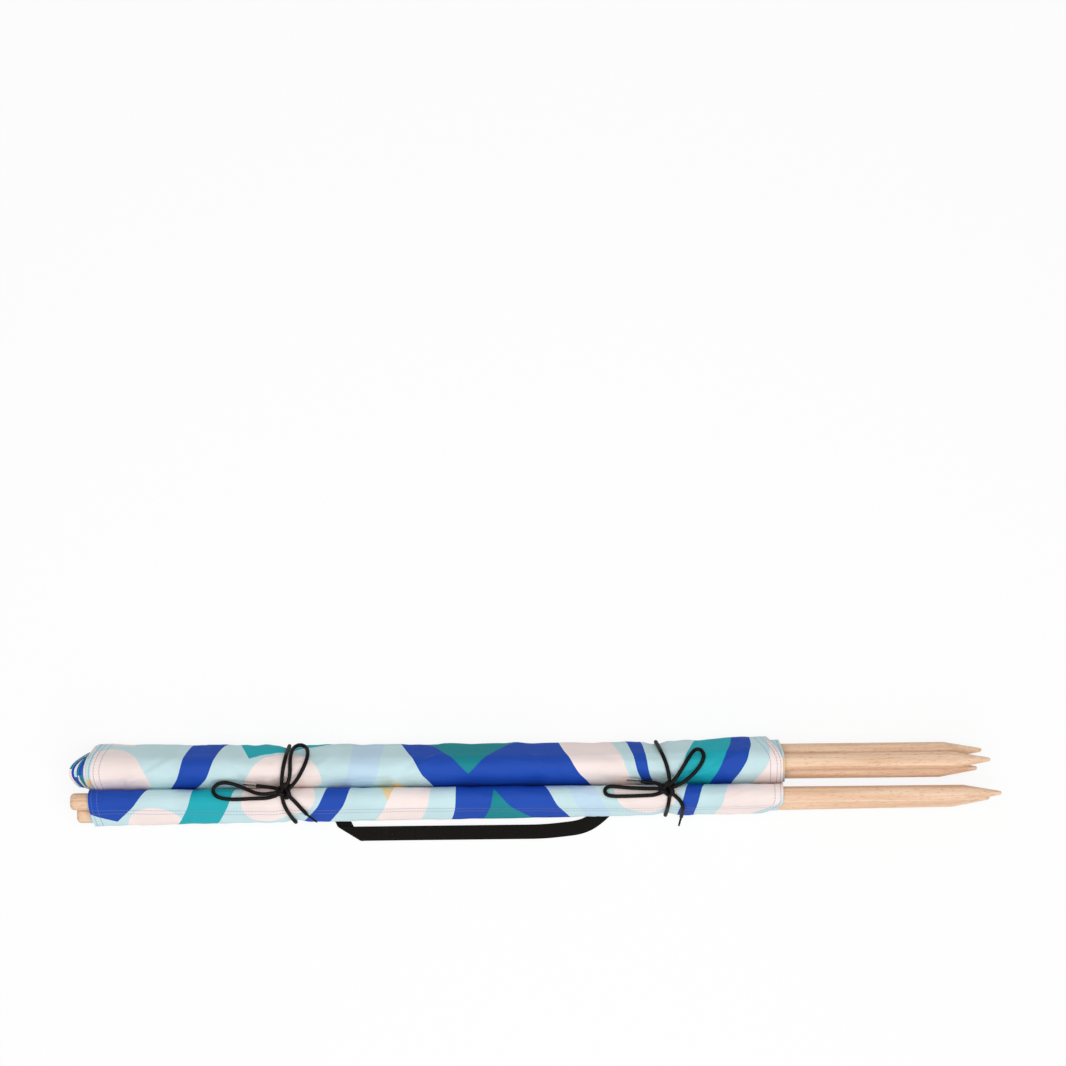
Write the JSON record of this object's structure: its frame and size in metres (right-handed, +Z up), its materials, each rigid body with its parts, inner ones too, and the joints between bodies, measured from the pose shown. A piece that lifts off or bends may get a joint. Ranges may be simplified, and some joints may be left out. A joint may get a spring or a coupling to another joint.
{
  "type": "beach windbreak",
  "caption": "Printed cloth beach windbreak rolled up on its pointed wooden poles, tied with two cords, with a webbing carry strap.",
  "frame": {"origin": "on the ground under the middle of the longest pole, under the middle of the bundle's width", "axes": "+X along the poles towards their points, +Y from the lower roll to the upper roll, +Z up from the ground"},
  "size_m": [1.22, 0.1308, 0.0641],
  "materials": {
    "wood": "bare sanded",
    "cloth_inner": "plain weave cotton",
    "cloth_middle": "plain weave cotton",
    "cloth_upper": "plain weave cotton",
    "cloth_lower": "plain weave cotton",
    "cloth_hem": "twice stitched hem",
    "cord": "braided",
    "clear_tip": "clear",
    "webbing": "woven webbing"
  },
  "bodies": {
    "root": {"pole_1": "wood", "pole_2": "wood", "pole_3": "wood", "pole_4": "wood", "pole_5": "wood", "pole_sleeve_1": "cloth_inner", "pole_sleeve_2": "cloth_inner", "pole_sleeve_3": "cloth_inner", "pole_sleeve_4": "cloth_inner", "pole_sleeve_5": "cloth_inner", "bay_1": "cloth_inner", "bay_2": "cloth_middle", "bay_3": "cloth_upper", "bay_4": "cloth_lower", "hem_upper_left": "cloth_hem", "hem_upper_right": "cloth_hem", "hem_lower_left": "cloth_hem", "hem_lower_right": "cloth_hem", "left_tie_upper_loop": "cord", "left_tie_side_loop": "cord", "left_tie_tail_a": "cord", "left_tie_tail_b": "cord", "right_tie_upper_loop": "cord", "right_tie_side_loop": "cord", "right_tie_tail_a": "cord", "right_tie_tail_b": "cord", "left_tie_wrap": "cord", "right_tie_wrap": "cord", "left_tie_knot": "cord", "right_tie_knot": "cord", "left_tie_aglet": "clear_tip", "left_tie_tip": "cord", "right_tie_aglet": "clear_tip", "right_tie_tip": "cord", "carry_strap": "webbing", "strap_end_left": "webbing", "strap_end_right": "webbing"}
  },
  "joints": []
}
